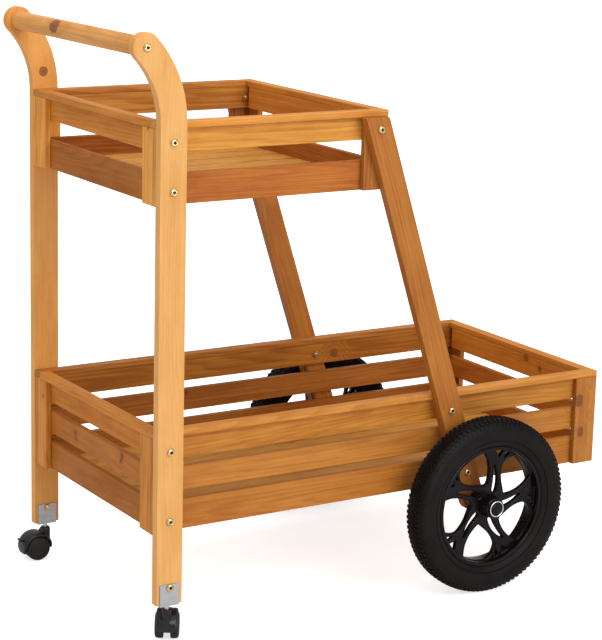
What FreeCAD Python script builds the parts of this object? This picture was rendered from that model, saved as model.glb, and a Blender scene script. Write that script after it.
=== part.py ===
import FreeCAD, Part
import math
import os
import re

import Sketcher

# Two-tier wooden flower cart: two slatted trays on two curved handle posts and two
# leaning legs, two large spoked wheels on a through axle, and a braked twin-wheel
# caster under each post.  Millimetres.  +X points from the handle to the wheels,
# +Y to the pusher's left, +Z up; the origin is on the floor under the middle of the
# cart's overall length and width.

SIZES = {
    # trays
    "tray_length": 880,
    "upper_length": 419,
    "tray_width": 438,
    "lower_base": 177.5,
    "lower_top": 343.5,
    "upper_base": 697.5,
    "upper_top": 826,
    "slat_thickness": 10,
    "bottom_slat": 48,
    "middle_slat": 39,
    "top_slat": 37.5,
    "board_thickness": 10.5,
    "corner_width": 45,
    "corner_reveal": 0.4,
    "floor_slat_width": 44,
    "floor_slat_gap": 8,
    "floor_slat_thickness": 7.5,
    "batten_thickness": 9,
    "batten_width": 40,
    "batten_inset": 60,
    # posts and handle bar
    "post_width": 45,
    "frame_thickness": 15.5,
    "post_foot": 65,
    "bend_start": 826,
    "bend_radius": 162.5,
    "bend_angle": 44.5,
    "bar_diameter": 30,
    # legs and packing strips
    "leg_width": 42,
    "leg_lean": 18.45,
    "packer_inset": 3,
    # bolts
    "bolt_sides": 12,
    "bolt_diameter": 6,
    "bolt_hole": 6.6,
    "bolt_head_diameter": 12.5,
    "bolt_head_height": 4,
    "socket_width": 4.4,
    "socket_depth": 2.4,
    "nut_width": 10,
    "nut_height": 5,
    "nut_stub": 2,
    "nut_room": 8,
    "handle_screw_length": 60,
    # axle and wheels
    "axle_place": 610,
    "axle_diameter": 12,
    "axle_clearance": 0.05,
    "axle_hole_clearance": 0.2,
    "wheel_diameter": 304.8,
    "wheel_offset": 49,
    "tyre_width": 47,
    "bead_radius": 101,
    "bead_half_width": 15,
    "tyre_wall": 5.5,
    "tyre_shoulder": 9,
    "tread_lugs": 36,
    "lug_height": 1.6,
    "lug_share": 0.72,
    "barrel_wall": 2.2,
    "window_inset": 2,
    "rim_wall": 3,
    "flange_height": 4.5,
    "web_front": 8,
    "web_back": 1,
    "spokes": 5,
    "hub_radius": 18.5,
    "hub_outer": 29,
    "hub_inner": 24,
    "hub_recess_radius": 13,
    "hub_recess_depth": 9,
    "hub_cap_radius": 15,
    "hub_cap_height": 4.5,
    "axle_nut_radius": 10,
    "axle_nut_height": 3,
    "axle_end": 2,
    "spacer_radius": 11,
    "running_gap": 0.3,
    # post brackets
    "bracket_width": 34,
    "bracket_height": 36,
    "bracket_wall": 2,
    "bracket_bolt_drop": 5.5,
    # casters
    "caster_wheel_diameter": 43,
    "caster_wheel_width": 13.5,
    "caster_trail": 19,
    "caster_stem_diameter": 8,
    "caster_boss_radius": 7.5,
    "caster_boss_height": 7.5,
    "hood_thickness": 11,
    "hood_width": 20,
    "hood_wall": 3,
    "hood_gap": 1,
    "caster_pin_diameter": 5,
    "caster_gap": 0.5,
    "stem_clearance": 0.05,
    "pedal_width": 14,
    "pedal_length": 12,
    "pedal_thickness": 3,
    "pedal_arm_width": 5,
    "pedal_eye_radius": 3,
    "pedal_pin_radius": 1.5,
    "right_caster_heading": 238,
    "left_caster_heading": 0,
}

# Expressions shared by several pieces.
SHARED = {
    "handle_reach": "bend_radius * (1 - cos(bend_angle))",
    "back_x": "handle_reach - (tray_length + handle_reach) / 2",
    "post_x": "back_x + post_width / 2",
    "axle_x": "back_x + axle_place",
    "half_width": "tray_width / 2",
    "cap_width": "board_thickness + slat_thickness",
    "bolt_line": "half_width + frame_thickness",
    "wheel_radius": "wheel_diameter / 2",
    "wheel_y": "half_width + wheel_offset",
    "handle_x": "post_x - bend_radius * (1 - cos(bend_angle))",
    "handle_z": "bend_start + bend_radius * sin(bend_angle)",
    "leg_top": "upper_top - board_thickness",
    "floor_pitch": "floor_slat_width + floor_slat_gap",
    "caster_radius": "caster_wheel_diameter / 2",
    "bracket_base": "post_foot - bracket_wall",
    "bracket_bolt_z": "bracket_base + bracket_height - bracket_bolt_drop",
    "post_middle": "half_width + frame_thickness / 2",
    "hood_radius": "caster_radius + hood_gap + hood_wall",
    "seat_radius": "bead_radius - running_gap",
    "barrel_radius": "seat_radius - barrel_wall",
    "window_radius": "barrel_radius - window_inset",
}

doc = FreeCAD.newDocument("flower_cart_stand")
sheet = doc.addObject("Spreadsheet::Sheet", "Sizes")
for row, (alias, size) in enumerate(SIZES.items(), start=1):
    sheet.set(f"A{row}", alias)
    sheet.set(f"B{row}", str(size))
    sheet.setAlias(f"B{row}", alias)
doc.recompute()

WORD = re.compile(r"[a-z_]+[a-z]")
finished = []


def words(text):
    """Turn plain names in an expression into cells of the sheet."""
    def look_up(match):
        name = match.group()
        if name in SHARED:
            return "(" + words(SHARED[name]) + ")"
        return "Sizes." + name if name in SIZES else name
    return WORD.sub(look_up, str(text))


def value(text):
    """The present value of an expression, as a plain number."""
    result = sheet.evalExpression(words(text))
    return float(getattr(result, "Value", result))


def bind(piece, **expressions):
    """Bind properties of a piece to expressions; x, y and z are its place."""
    for name, text in expressions.items():
        target = "Placement.Base." + name if name in ("x", "y", "z") else name
        piece.setExpression(target, words(text))
    return piece


def finish(piece, label):
    """Name a sub-part, so that it is written to its own file."""
    piece.Label = label
    finished.append(piece)
    return piece


def box(name, x, y, z, length, width, height):
    """A board given by its low corner and its three sizes."""
    board = doc.addObject("Part::Box", name)
    return bind(board, x=x, y=y, z=z, Length=length, Width=width, Height=height)


def rod(name, x, y, z, radius, length, axis="y"):
    """A round bar from a point along +Y or +Z."""
    bar = doc.addObject("Part::Cylinder", name)
    if axis == "y":
        turn = FreeCAD.Rotation(FreeCAD.Vector(1, 0, 0), -90)
        bar.Placement = FreeCAD.Placement(FreeCAD.Vector(), turn)
    return bind(bar, x=x, y=y, z=z, Radius=radius, Height=length)


def prism(name, sides, x, y, z, radius, length, side=1):
    """A many-sided bar from a point along +Y, or along -Y for side -1."""
    bar = doc.addObject("Part::Prism", name)
    turn = FreeCAD.Rotation(FreeCAD.Vector(1, 0, 0), -90 * side)
    bar.Placement = FreeCAD.Placement(FreeCAD.Vector(), turn)
    return bind(bar, x=x, y=y, z=z, Polygon=sides, Circumradius=radius,
                Height=length)


def group(name, pieces):
    """Separate solids that share one sub-part."""
    together = doc.addObject("Part::Compound", name + "_group")
    together.Links = pieces
    return finish(together, name)


def drilled(name, board, holes):
    """A board with its bolt holes."""
    cut = doc.addObject("Part::Cut", name)
    cut.Base = board
    cut.Tool = holes[0] if len(holes) == 1 else merged(name + "_drill", holes)
    return cut


def merged(name, pieces):
    """Tools or lumps that act as one."""
    together = doc.addObject("Part::MultiFuse", name)
    together.Shapes = pieces
    return together


def new_body(name):
    return doc.addObject("PartDesign::Body", name)


def origin_part(body, role):
    return next(f for f in body.Origin.OriginFeatures if f.Role == role)


def sketch_on(body, name, role="XZ_Plane"):
    sketch = body.newObject("Sketcher::SketchObject", name)
    sketch.AttachmentSupport = [(origin_part(body, role), "")]
    sketch.MapMode = "FlatFace"
    return sketch


def pin(sketch, geometry, place, x, y):
    """Fix a point of a sketch at an expression for x and one for y."""
    for kind, text in (("DistanceX", x), ("DistanceY", y)):
        rule = Sketcher.Constraint(kind, -1, 1, geometry, place, value(text))
        index = sketch.addConstraint(rule)
        sketch.setExpression(f"Constraints[{index}]", words(text))


def outline(sketch, corners, rounds=None):
    """A closed outline through corners given as pairs of expressions.

    rounds maps an edge's number to (radius, turn): that edge is an arc, which turns
    left (+1) or right (-1) on the way to the next corner.
    """
    rounds = rounds or {}
    points = [FreeCAD.Vector(value(x), value(y), 0) for x, y in corners]
    first = sketch.GeometryCount
    ends = []
    for index, start in enumerate(points):
        finish_point = points[(index + 1) % len(points)]
        if index in rounds:
            radius, turn = rounds[index]
            size = value(radius)
            chord = finish_point - start
            half = chord.Length / 2
            rise = math.sqrt(max(size * size - half * half, 0))
            side = FreeCAD.Vector(-chord.y, chord.x, 0).normalize() * rise * turn
            centre = (start + finish_point) * 0.5 + side
            low, high = (start, finish_point) if turn > 0 else (finish_point, start)
            angles = [math.atan2(p.y - centre.y, p.x - centre.x) for p in (low, high)]
            circle = Part.Circle(centre, FreeCAD.Vector(0, 0, 1), size)
            edge = sketch.addGeometry(Part.ArcOfCircle(circle, *angles))
            rule = sketch.addConstraint(Sketcher.Constraint("Radius", edge, size))
            sketch.setExpression(f"Constraints[{rule}]", words(radius))
            ends.append((1, 2) if turn > 0 else (2, 1))
        else:
            sketch.addGeometry(Part.LineSegment(start, finish_point))
            ends.append((1, 2))
    count = len(points)
    for index, (x, y) in enumerate(corners):
        before = (index - 1) % count
        rule = Sketcher.Constraint("Coincident", first + before, ends[before][1],
                                   first + index, ends[index][0])
        sketch.addConstraint(rule)
        pin(sketch, first + index, ends[index][0], x, y)


def circle(sketch, x, y, radius):
    centre = FreeCAD.Vector(value(x), value(y), 0)
    ring = Part.Circle(centre, FreeCAD.Vector(0, 0, 1), value(radius))
    index = sketch.addGeometry(ring)
    rule = sketch.addConstraint(Sketcher.Constraint("Radius", index, value(radius)))
    sketch.setExpression(f"Constraints[{rule}]", words(radius))
    pin(sketch, index, 3, x, y)


def pad(body, sketch, length, symmetric=False):
    feature = body.newObject("PartDesign::Pad", sketch.Name + "_pad")
    feature.Profile = sketch
    feature.SideType = "Symmetric" if symmetric else "One side"
    return bind(feature, Length=length)


def pocket(body, sketch, length=None):
    """Cut a sketch both ways from its plane, right through or for a length."""
    doc.recompute()
    before = body.Shape.Volume
    feature = body.newObject("PartDesign::Pocket", sketch.Name + "_pocket")
    feature.Profile = sketch
    feature.SideType = "Symmetric"
    feature.Type = "Length" if length else "ThroughAll"
    if length:
        bind(feature, Length=length)
    doc.recompute()
    if body.Shape.Volume >= before:
        raise RuntimeError(sketch.Name + " cuts nothing")
    return feature


def revolve(body, sketch, axis="V_Axis"):
    feature = body.newObject("PartDesign::Revolution", sketch.Name + "_turned")
    feature.Profile = sketch
    feature.ReferenceAxis = (sketch, [axis])
    feature.Angle = 360
    return feature


def repeat_round(body, feature, role, count):
    pattern = body.newObject("PartDesign::PolarPattern", feature.Name + "_ring")
    pattern.Originals = [feature]
    pattern.Axis = (origin_part(body, role), [""])
    pattern.Angle = 360
    bind(pattern, Occurrences=count)
    body.Tip = pattern
    return pattern


# --- Where the bolts are -----------------------------------------------------------

POST_BOLT_HEIGHTS = {
    "upper_high": "upper_top - board_thickness - top_slat / 2",
    "upper_low": "upper_base + bottom_slat / 2",
    "lower_high": "lower_top - board_thickness - top_slat / 2",
    "lower_low": "lower_base + bottom_slat / 2",
}
LEG_BOLT_HEIGHTS = {
    "upper_high": POST_BOLT_HEIGHTS["upper_high"],
    "lower_high": POST_BOLT_HEIGHTS["lower_high"],
    "lower_low": POST_BOLT_HEIGHTS["lower_low"],
}


def leg_x(height):
    """Where the leg's centre line is at a height."""
    return f"axle_x - (({height}) - wheel_radius) * tan(leg_lean)"


SIDES = {"right": -1, "left": 1}


def drill(name, side, x, z):
    """A bolt hole through the boards of one side of the cart."""
    reach = "frame_thickness + cap_width + 2"
    low = "-bolt_line - 1" if side < 0 else "half_width - cap_width - 1"
    return prism(name, "bolt_sides", x, low, z, "bolt_hole / 2", reach)


# --- Trays -------------------------------------------------------------------------

TRAYS = {
    "lower": ("tray_length", "lower_base", "lower_top", True),
    "upper": ("upper_length", "upper_base", "upper_top", False),
}


def tray_slats(tray):
    """Each slat's base height and height, from the bottom up."""
    length, base, top, has_middle = TRAYS[tray]
    cap_base = f"{top} - board_thickness"
    rows = [(base, "bottom_slat"), (f"{cap_base} - top_slat", "top_slat")]
    if has_middle:
        free = f"({cap_base} - {base} - bottom_slat - middle_slat - top_slat) / 2"
        rows.insert(1, (f"{base} + bottom_slat + {free}", "middle_slat"))
    return rows


def bolt_rows(tray, side):
    """The bolts that pass one side of a tray: name, x and z."""
    rows = []
    for name, height in POST_BOLT_HEIGHTS.items():
        if name.startswith(tray):
            rows.append(("post_" + name, "post_x", height))
    for name, height in LEG_BOLT_HEIGHTS.items():
        if name.startswith(tray):
            rows.append(("leg_" + name, leg_x(height), height))
    return rows


def make_tray(tray):
    length, base, top, _ = TRAYS[tray]
    low_level = {"post_upper_low", "post_lower_low", "leg_lower_low"}
    rows = tray_slats(tray)
    for side_name, side in SIDES.items():
        face = "-half_width" if side < 0 else "half_width - board_thickness"
        inner = ("-half_width + board_thickness" if side < 0
                 else "half_width - cap_width")
        slats = []
        for level, (slat_base, height) in enumerate(rows):
            name = f"{tray}_{side_name}_slat_{level}"
            slat = box(name, "back_x + board_thickness", inner, slat_base,
                       f"{length} - 2 * board_thickness", "slat_thickness", height)
            wanted = [b for b in bolt_rows(tray, side)
                      if (b[0] in low_level and level == 0)
                      or (b[0] not in low_level and level == len(rows) - 1)]
            holes = [drill(f"{name}_hole_{b[0]}", side, b[1], b[2]) for b in wanted]
            slats.append(drilled(name + "_drilled", slat, holes) if holes else slat)
        group(f"{tray}_slats_{side_name}", slats)
        finish(box(f"{tray}_cap_box_{side_name}", "back_x",
                   "-half_width" if side < 0 else "half_width - cap_width",
                   f"{top} - board_thickness", length, "cap_width",
                   "board_thickness"), f"{tray}_cap_{side_name}")
        for end_name, at_back in (("back", True), ("front", False)):
            name = f"{tray}_corner_{end_name}_{side_name}"
            long_x = "back_x" if at_back else f"back_x + {length} - corner_width"
            height = f"{top} - {base} - board_thickness"
            long_board = box(name + "_long", long_x, face, base,
                             "corner_width", "board_thickness", height)
            bolts = [b for b in bolt_rows(tray, side)
                     if b[0].startswith("post") == at_back]
            if tray == "lower" and not at_back:
                bolts = []
            if bolts:
                holes = [drill(f"{name}_hole_{b[0]}", side, b[1], b[2])
                         for b in bolts]
                long_board = drilled(name + "_long_drilled", long_board, holes)
            short_x = ("back_x + corner_reveal" if at_back
                       else f"back_x + {length} - board_thickness")
            short_y = ("-half_width + board_thickness" if side < 0
                       else "half_width - corner_width")
            short_board = box(name + "_short", short_x, short_y, base,
                              "board_thickness - corner_reveal",
                              "corner_width - board_thickness", height)
            group(name, [long_board, short_board])
    for end_name, at_back in (("back", True), ("front", False)):
        slat_x = ("back_x + board_thickness" if at_back
                  else f"back_x + {length} - cap_width")
        slats = [box(f"{tray}_{end_name}_slat_{level}", slat_x,
                     "-half_width + cap_width + nut_room", slat_base,
                     "slat_thickness", "tray_width - 2 * (cap_width + nut_room)",
                     height)
                 for level, (slat_base, height) in enumerate(rows)]
        group(f"{tray}_slats_{end_name}", slats)
        cap_x = "back_x" if at_back else f"back_x + {length} - cap_width"
        finish(box(f"{tray}_cap_box_{end_name}", cap_x, "-half_width + cap_width",
                   f"{top} - board_thickness", "cap_width",
                   "tray_width - 2 * cap_width", "board_thickness"),
               f"{tray}_cap_{end_name}")


def make_floor(tray, batten_count):
    """Floor slats along the tray, resting on battens between the long sides."""
    length, base, _, _ = TRAYS[tray]
    inside = value("tray_width - 2 * cap_width")
    count = int((inside + value("floor_slat_gap")) // value("floor_pitch"))
    span = f"({count} * floor_pitch - floor_slat_gap)"
    slats = [box(f"{tray}_floor_{n}", "back_x + cap_width",
                 f"-{span} / 2 + {n} * floor_pitch", f"{base} + batten_thickness",
                 f"{length} - 2 * cap_width", "floor_slat_width",
                 "floor_slat_thickness") for n in range(count)]
    group(f"{tray}_floor_slats", slats)
    first = "back_x + cap_width + batten_inset"
    step = (f"({length} - 2 * cap_width - 2 * batten_inset - batten_width)"
            f" / {batten_count - 1}")
    battens = [box(f"{tray}_batten_{n}", f"{first} + {n} * {step}",
                   "-half_width + cap_width", base, "batten_width",
                   "tray_width - 2 * cap_width", "batten_thickness")
               for n in range(batten_count)]
    group(f"{tray}_floor_battens", battens)


# --- Posts, handle bar, legs ---------------------------------------------------------

def make_post(side_name, side):
    """A straight board whose top bends back and ends in a round head."""
    body = new_body("post_body_" + side_name)
    near = "-half_width" if side < 0 else "bolt_line"
    bind(body, x="post_x", y=near)
    sketch = sketch_on(body, "post_outline_" + side_name)
    half = "post_width / 2"
    inner = f"(bend_radius - {half})"
    outer = f"(bend_radius + {half})"
    corners = [
        (half, "post_foot"),
        (half, "bend_start"),
        (f"-bend_radius + {outer} * cos(bend_angle)",
         f"bend_start + {outer} * sin(bend_angle)"),
        (f"-bend_radius + bend_radius * cos(bend_angle) - {half} * sin(bend_angle)",
         f"bend_start + bend_radius * sin(bend_angle) + {half} * cos(bend_angle)"),
        (f"-bend_radius + {inner} * cos(bend_angle)",
         f"bend_start + {inner} * sin(bend_angle)"),
        (f"-{half}", "bend_start"),
        (f"-{half}", "post_foot"),
    ]
    outline(sketch, corners, {1: (outer, 1), 2: (half, 1), 3: (half, 1),
                              4: (inner, -1)})
    pad(body, sketch, "frame_thickness")
    places = [("post_x", height) for height in POST_BOLT_HEIGHTS.values()]
    places += [("post_x", "bracket_bolt_z"), ("handle_x", "handle_z")]
    holes = [drill(f"post_hole_{n}_{side_name}", side, x, z)
             for n, (x, z) in enumerate(places)]
    finish(drilled("post_drilled_" + side_name, body, holes), "post_" + side_name)


def make_handle_bar():
    bar = rod("handle_rod", "handle_x", "-half_width", "handle_z",
              "bar_diameter / 2", "tray_width")
    depth = "(handle_screw_length - frame_thickness + nut_stub)"
    holes = [
        prism("handle_hole_right", "bolt_sides", "handle_x", "-half_width - 1",
              "handle_z", "bolt_diameter / 2", depth + " + 1"),
        prism("handle_hole_left", "bolt_sides", "handle_x", f"half_width - {depth}",
              "handle_z", "bolt_diameter / 2", depth + " + 1"),
    ]
    finish(drilled("handle_bar_drilled", bar, holes), "handle_bar")


def make_leg(side_name, side):
    """A leaning board, cut level at its top and rounded about the axle."""
    body = new_body("leg_body_" + side_name)
    near = "-half_width" if side < 0 else "bolt_line"
    bind(body, x="axle_x", y=near, z="wheel_radius")
    sketch = sketch_on(body, "leg_outline_" + side_name)
    half = "leg_width / 2"
    rise = "(leg_top - wheel_radius)"
    across = f"{half} / cos(leg_lean)"
    corners = [
        (f"{half} * cos(leg_lean)", f"{half} * sin(leg_lean)"),
        (f"{across} - {rise} * tan(leg_lean)", rise),
        (f"-{across} - {rise} * tan(leg_lean)", rise),
        (f"-{half} * cos(leg_lean)", f"-{half} * sin(leg_lean)"),
        (f"{half} * sin(leg_lean)", f"-{half} * cos(leg_lean)"),
    ]
    outline(sketch, corners, {3: (half, 1), 4: (half, 1)})
    pad(body, sketch, "frame_thickness")
    low = "-bolt_line - 1" if side < 0 else "half_width - 1"
    holes = [rod("leg_axle_hole_" + side_name, "axle_x", low, "wheel_radius",
                 "axle_diameter / 2 + axle_hole_clearance", "frame_thickness + 2")]
    holes += [drill(f"leg_hole_{name}_{side_name}", side, leg_x(height), height)
              for name, height in LEG_BOLT_HEIGHTS.items()]
    finish(drilled("leg_drilled_" + side_name, body, holes), "leg_" + side_name)


def make_packer(side_name, side):
    """The strip that fills the space between a leg and the lower tray's slats."""
    body = new_body("packer_body_" + side_name)
    near = "-half_width + board_thickness" if side < 0 else "half_width"
    bind(body, x="axle_x", y=near, z="wheel_radius")
    sketch = sketch_on(body, "packer_outline_" + side_name)
    across = "(leg_width / 2 - packer_inset) / cos(leg_lean)"
    high = "(lower_top - board_thickness - wheel_radius)"
    low = "(lower_base - wheel_radius)"
    outline(sketch, [
        (f"{across} - {low} * tan(leg_lean)", low),
        (f"{across} - {high} * tan(leg_lean)", high),
        (f"-{across} - {high} * tan(leg_lean)", high),
        (f"-{across} - {low} * tan(leg_lean)", low),
    ])
    pad(body, sketch, "board_thickness")
    holes = [drill(f"packer_hole_{name}_{side_name}", side,
                   leg_x(LEG_BOLT_HEIGHTS[name]), LEG_BOLT_HEIGHTS[name])
             for name in ("lower_high", "lower_low")]
    finish(drilled("packer_drilled_" + side_name, body, holes),
           "leg_packer_" + side_name)


# --- Bolts ---------------------------------------------------------------------------

def make_bolt(name, side, x, z, face, length):
    """A socket-head bolt put in from outside one side of the cart.

    face is the distance from the cart's middle plane to the surface under the head.
    """
    sign = "-" if side < 0 else ""
    head = prism(name + "_head", "bolt_sides + 4", x, f"{sign}({face})", z,
                 "bolt_head_diameter / 2", "bolt_head_height", side)
    shank = prism(name + "_shank", "bolt_sides", x, f"{sign}({face} - ({length}))", z,
                  "bolt_diameter / 2", length, side)
    key = prism(name + "_key", 6, x,
                f"{sign}({face} + bolt_head_height - socket_depth)", z,
                "socket_width / 2 / cos(30)", "socket_depth + 1", side)
    return drilled(name, merged(name + "_solid", [head, shank]), [key])


def make_nut(name, side, x, z, face):
    """A hexagon nut run up against a face from the inside, on its bolt."""
    sign = "-" if side < 0 else ""
    blank = prism(name + "_blank", 6, x, f"{sign}({face})", z,
                  "nut_width / 2 / cos(30)", "nut_height", -side)
    bore = prism(name + "_bore", "bolt_sides", x,
                 f"{sign}({face} + 1)", z, "bolt_diameter / 2", "nut_height + 2",
                 -side)
    return drilled(name, blank, [bore])


def make_fasteners():
    through = "frame_thickness + cap_width + nut_height + nut_stub"
    inside = "half_width - cap_width"
    bolts = []
    nuts = []
    for side_name, side in SIDES.items():
        for name, height in POST_BOLT_HEIGHTS.items():
            label = f"post_bolt_{name}_{side_name}"
            bolts.append(make_bolt(label, side, "post_x", height, "bolt_line", through))
            nuts.append(make_nut(label + "_nut", side, "post_x", height, inside))
        for name, height in LEG_BOLT_HEIGHTS.items():
            label = f"leg_bolt_{name}_{side_name}"
            place = leg_x(height)
            bolts.append(make_bolt(label, side, place, height, "bolt_line", through))
            nuts.append(make_nut(label + "_nut", side, place, height, inside))
        bolts.append(make_bolt("handle_screw_" + side_name, side, "handle_x",
                               "handle_z", "bolt_line", "handle_screw_length"))
        label = "bracket_bolt_" + side_name
        bolts.append(make_bolt(label, side, "post_x", "bracket_bolt_z",
                               "bolt_line + bracket_wall",
                               "frame_thickness + 2 * bracket_wall + nut_height"
                               " + nut_stub"))
        nuts.append(make_nut(label + "_nut", side, "post_x", "bracket_bolt_z",
                             "half_width - bracket_wall"))
    group("frame_bolts", bolts)
    group("frame_nuts", nuts)


# --- Axle and wheels -------------------------------------------------------------------

def make_axle():
    reach = "(wheel_y + hub_outer - hub_recess_depth + axle_nut_height + axle_end)"
    finish(rod("axle_rod", "axle_x", f"-{reach}", "wheel_radius",
               "axle_diameter / 2", f"2 * {reach}"), "axle")
    spacers = []
    nuts = []
    for side_name, side in SIDES.items():
        spacer_low = ("-wheel_y + hub_inner + running_gap" if side < 0
                      else "bolt_line")
        width = "wheel_offset - hub_inner - frame_thickness - running_gap"
        nut_low = ("-wheel_y - hub_outer + hub_recess_depth - running_gap"
                   " - axle_nut_height" if side < 0
                   else "wheel_y + hub_outer - hub_recess_depth + running_gap")
        for parts, name, low, length, blank in (
                (spacers, "spacer_", spacer_low, width,
                 rod("spacer_" + side_name, "axle_x", spacer_low, "wheel_radius",
                     "spacer_radius", width)),
                (nuts, "axle_nut_", nut_low, "axle_nut_height",
                 prism("axle_nut_" + side_name, 6, "axle_x", nut_low, "wheel_radius",
                       "axle_nut_radius", "axle_nut_height"))):
            bore = rod(name + side_name + "_bore", "axle_x", f"{low} - 1",
                       "wheel_radius", "axle_diameter / 2", f"{length} + 2")
            parts.append(drilled(name + side_name + "_bored", blank, [bore]))
    group("axle_spacers", spacers)
    group("axle_nuts", nuts)


def place_wheel(body, side):
    """Wheel bodies are drawn with their outer face towards -Y."""
    if side > 0:
        half_turn = FreeCAD.Rotation(FreeCAD.Vector(0, 0, 1), 180)
        body.Placement = FreeCAD.Placement(FreeCAD.Vector(), half_turn)
    bind(body, x="axle_x", y="-wheel_y" if side < 0 else "wheel_y", z="wheel_radius")


def polar(radius, angle):
    """A point of the wheel's face from its radius and its angle in degrees."""
    return f"({radius}) * cos({angle})", f"({radius}) * sin({angle})"


def cut_window(body, name, corners, rounds):
    """One window of the wheel, repeated for every spoke."""
    sketch = sketch_on(body, name)
    outline(sketch, corners, rounds)
    window = pocket(body, sketch)
    return repeat_round(body, window, "Y_Axis", "spokes")


def make_rim(side_name, side):
    """Moulded wheel: hub, web of forked twin-prong spokes, and a channel rim."""
    body = new_body("rim_body_" + side_name)
    place_wheel(body, side)
    profile = sketch_on(body, "rim_profile_" + side_name, "XY_Plane")
    bore = "(axle_diameter / 2 + axle_clearance)"
    flange = "(seat_radius + flange_height)"
    edge = "(bead_half_width + rim_wall)"
    groove = "(bead_half_width + running_gap)"
    outline(profile, [
        (bore, "hub_inner"),
        (bore, "-hub_outer + hub_recess_depth"),
        ("hub_recess_radius", "-hub_outer + hub_recess_depth"),
        ("hub_recess_radius", "-hub_outer"),
        ("hub_radius", "-hub_outer"),
        ("hub_radius", "-web_front"),
        ("barrel_radius", "-web_front"),
        ("barrel_radius", f"-{edge}"),
        (flange, f"-{edge}"),
        (flange, f"-{groove}"),
        ("seat_radius", f"-{groove}"),
        ("seat_radius", groove),
        (flange, groove),
        (flange, edge),
        ("barrel_radius", edge),
        ("barrel_radius", "web_back"),
        ("hub_radius", "web_back"),
        ("hub_radius", "hub_inner"),
    ])
    revolve(body, profile)
    reach = "(window_radius - hub_radius)"

    def at(share, angle):
        return polar(f"hub_radius + {reach} * {share}", angle)

    def ring(share):
        return f"(hub_radius + {reach} * {share})"

    # Between two spokes: a wide window, swept round by the spokes' curve.
    wide = [at(0.22, -47), at(0.81, -51.5), at(0.975, -46), at(0.975, -14.5),
            at(0.72, -4), at(0.30, -26)]
    cut_window(body, "wide_window_" + side_name, wide,
               {0: (f"{reach} * 0.82", 1), 2: (ring(0.975), 1),
                3: (f"{reach} * 0.31", 1), 4: (f"{reach} * 0.8", 1)})
    # Inside each spoke: the curved slit between its two prongs.
    slit = [at(0.05, -90), at(0.70, -60.5), at(0.08, -68)]
    cut_window(body, "slit_" + side_name, slit,
               {0: (f"{reach} * 0.74", 1), 1: (f"{reach} * 2", -1)})
    # Where the prongs fork again at the rim: two small windows.
    for name, inner, low, high in (("fork_a_", at(0.83, -67.5), -71, -61),
                                   ("fork_b_", at(0.78, -74.5), -82, -74.5)):
        fork = [inner, at(0.967, low), at(0.967, high)]
        cut_window(body, name + side_name, fork, {1: (ring(0.967), 1)})
    finish(body, "rim_" + side_name)


def make_tyre(side_name, side):
    """Hollow tyre with sloping shoulders and a ring of tread lugs."""
    body = new_body("tyre_body_" + side_name)
    place_wheel(body, side)
    profile = sketch_on(body, "tyre_profile_" + side_name, "XY_Plane")
    half = "tyre_width / 2"
    crown = "(wheel_radius - tyre_shoulder)"
    mid = f"((bead_radius + {crown}) / 2)"
    tread = f"({half} - tyre_shoulder)"
    outer_side = [("bead_radius", "bead_half_width"),
                  ("bead_radius + flange_height", "bead_half_width"),
                  (mid, half), (crown, half), ("wheel_radius", tread)]
    inner_side = [("bead_radius", "bead_half_width - tyre_wall"),
                  ("wheel_radius - tyre_wall - lug_height",
                   "bead_half_width - tyre_wall")]
    near = [(radius, f"-({place})") for radius, place in outer_side]
    near_inner = [(radius, f"-({place})") for radius, place in inner_side]
    outline(profile, near + outer_side[::-1] + inner_side + near_inner[::-1])
    revolve(body, profile)
    # Grooves right across the tread leave a ring of lugs; one lug stands on the floor.
    groove = sketch_on(body, "groove_outline_" + side_name)
    middle = "90 + 180 / tread_lugs"
    turn = "180 / tread_lugs * (1 - lug_share)"
    floor = "wheel_radius - lug_height"
    outline(groove, [
        polar(floor, f"{middle} - {turn}"),
        polar("wheel_radius + lug_height", f"{middle} - {turn}"),
        polar("wheel_radius + lug_height", f"{middle} + {turn}"),
        polar(floor, f"{middle} + {turn}"),
    ])
    cut = pocket(body, groove)
    repeat_round(body, cut, "Y_Axis", "tread_lugs")
    finish(body, "tyre_" + side_name)


def make_hub_cap(side_name, side):
    body = new_body("hub_cap_body_" + side_name)
    place_wheel(body, side)
    profile = sketch_on(body, "hub_cap_profile_" + side_name, "XY_Plane")
    face = "(-hub_outer - hub_cap_height)"
    outline(profile, [
        ("0", "-hub_outer"),
        ("0", face),
        ("hub_cap_radius - 1", face),
        ("hub_cap_radius", f"{face} + 1"),
        ("hub_cap_radius", "-hub_outer"),
    ])
    revolve(body, profile)
    finish(body, "hub_cap_" + side_name)


# --- Post brackets and casters -----------------------------------------------------------

def make_bracket(side_name, side):
    """U-shaped steel strap round the foot of a post."""
    body = new_body("bracket_body_" + side_name)
    bind(body, x="post_x", y="-post_middle" if side < 0 else "post_middle",
         z="bracket_base")
    profile = sketch_on(body, "bracket_profile_" + side_name, "YZ_Plane")
    inner = "frame_thickness / 2"
    outer = "(frame_thickness / 2 + bracket_wall)"
    outline(profile, [
        (f"-{outer}", "0"), (outer, "0"), (outer, "bracket_height"),
        (inner, "bracket_height"), (inner, "bracket_wall"),
        (f"-{inner}", "bracket_wall"), (f"-{inner}", "bracket_height"),
        (f"-{outer}", "bracket_height"),
    ])
    pad(body, profile, "bracket_width", symmetric=True)
    cross_hole = sketch_on(body, "bracket_bolt_hole_" + side_name)
    circle(cross_hole, 0, "bracket_height - bracket_bolt_drop", "bolt_hole / 2")
    pocket(body, cross_hole)
    stem_hole = sketch_on(body, "bracket_stem_hole_" + side_name, "XY_Plane")
    circle(stem_hole, 0, 0, "caster_stem_diameter / 2")
    pocket(body, stem_hole)
    finish(body, "bracket_" + side_name)


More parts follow.
